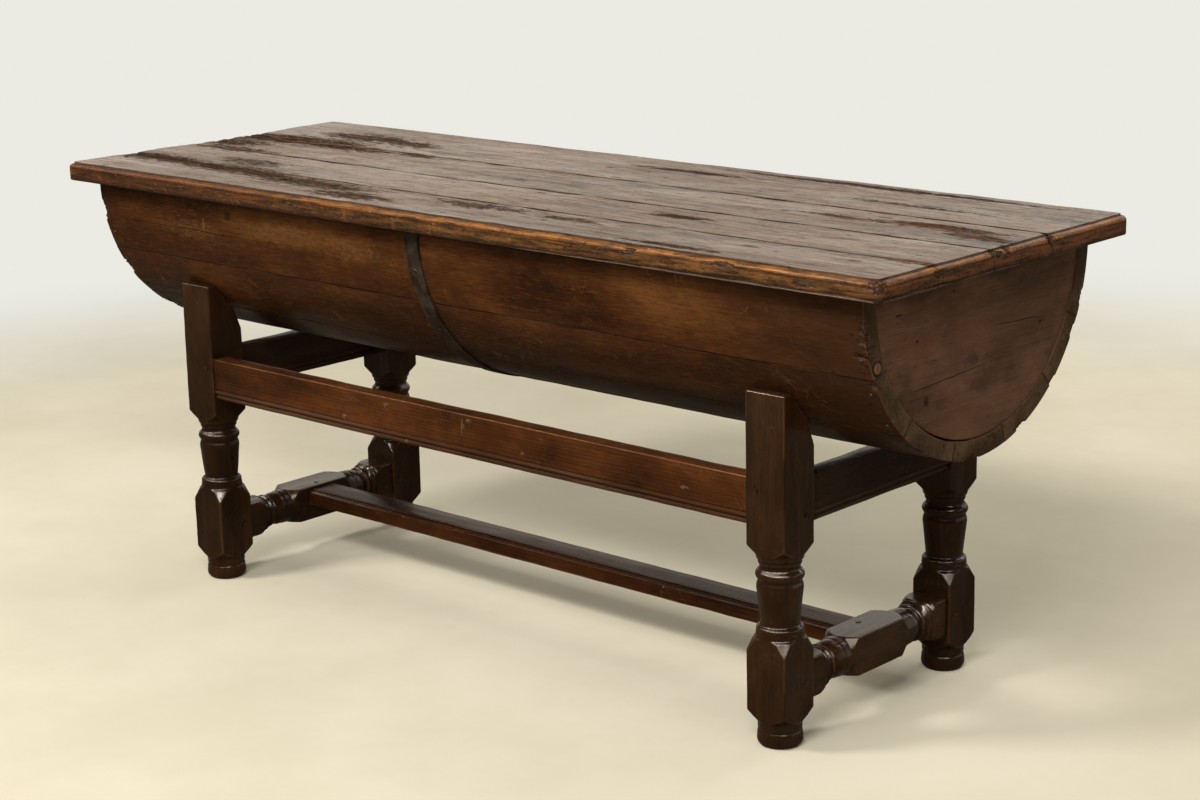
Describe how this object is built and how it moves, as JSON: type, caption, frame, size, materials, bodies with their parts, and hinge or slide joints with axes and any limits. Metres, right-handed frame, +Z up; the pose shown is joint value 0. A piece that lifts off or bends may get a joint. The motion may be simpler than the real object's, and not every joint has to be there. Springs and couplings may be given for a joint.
{
  "type": "dough_box_table",
  "caption": "Antique dough box: a half-round coopered trough with an iron strap, cradled in a turned, pegged stand, under a hinged plank lid with a moulded edge",
  "frame": {"origin": "the middle of the floor under the box, halfway along it and halfway between its front and rear", "axes": "+X along the box towards its right end, +Y towards the rear, where the lid's hinges are, +Z up"},
  "size_m": [1.78, 0.64, 0.75],
  "materials": {
    "stand_wood": "polished",
    "peg_wood": "polished",
    "trough_wood": "polished",
    "lid_wood": "polished",
    "wrought_iron": "matte"
  },
  "bodies": {
    "stand": {"leg_front_left": "stand_wood", "leg_front_right": "stand_wood", "leg_rear_left": "stand_wood", "leg_rear_right": "stand_wood", "rail_front": "stand_wood", "rail_rear": "stand_wood", "rail_left": "stand_wood", "rail_right": "stand_wood", "end_stretcher_left": "stand_wood", "end_stretcher_right": "stand_wood", "centre_stretcher": "stand_wood", "rail_pegs": "peg_wood", "stretcher_pegs": "peg_wood"},
    "trough": {"stave_front_rim": "trough_wood", "stave_front_side": "trough_wood", "stave_front_belly": "trough_wood", "stave_bottom": "trough_wood", "stave_rear_belly": "trough_wood", "stave_rear_side": "trough_wood", "stave_rear_rim": "trough_wood", "end_board_left": "trough_wood", "end_board_right": "trough_wood", "iron_strap": "wrought_iron", "strap_nails": "wrought_iron", "end_board_nails": "wrought_iron", "hinge_trough_leaf_left": "wrought_iron", "hinge_trough_leaf_right": "wrought_iron", "hinge_pin_left": "wrought_iron", "hinge_pin_right": "wrought_iron", "hinge_trough_nails": "wrought_iron"},
    "lid": {"lid_plank_front": "lid_wood", "lid_plank_mid_front": "lid_wood", "lid_plank_mid_rear": "lid_wood", "lid_plank_rear": "lid_wood", "lid_batten_left": "lid_wood", "lid_batten_middle": "lid_wood", "lid_batten_right": "lid_wood", "batten_nails": "wrought_iron", "hinge_lid_leaf_left": "wrought_iron", "hinge_lid_leaf_right": "wrought_iron", "hinge_lid_nails": "wrought_iron"}
  },
  "joints": [
    {"name": "trough_lift", "type": "slide", "parent": "stand", "child": "trough", "axis": [0, 0, 1], "range_m": [0, 0.3]},
    {"name": "lid_hinge", "type": "hinge", "parent": "trough", "child": "lid", "pos_m": [0, 0.293, 0.7115], "axis": [-1, 0, 0], "range_deg": [0, 105]}
  ]
}
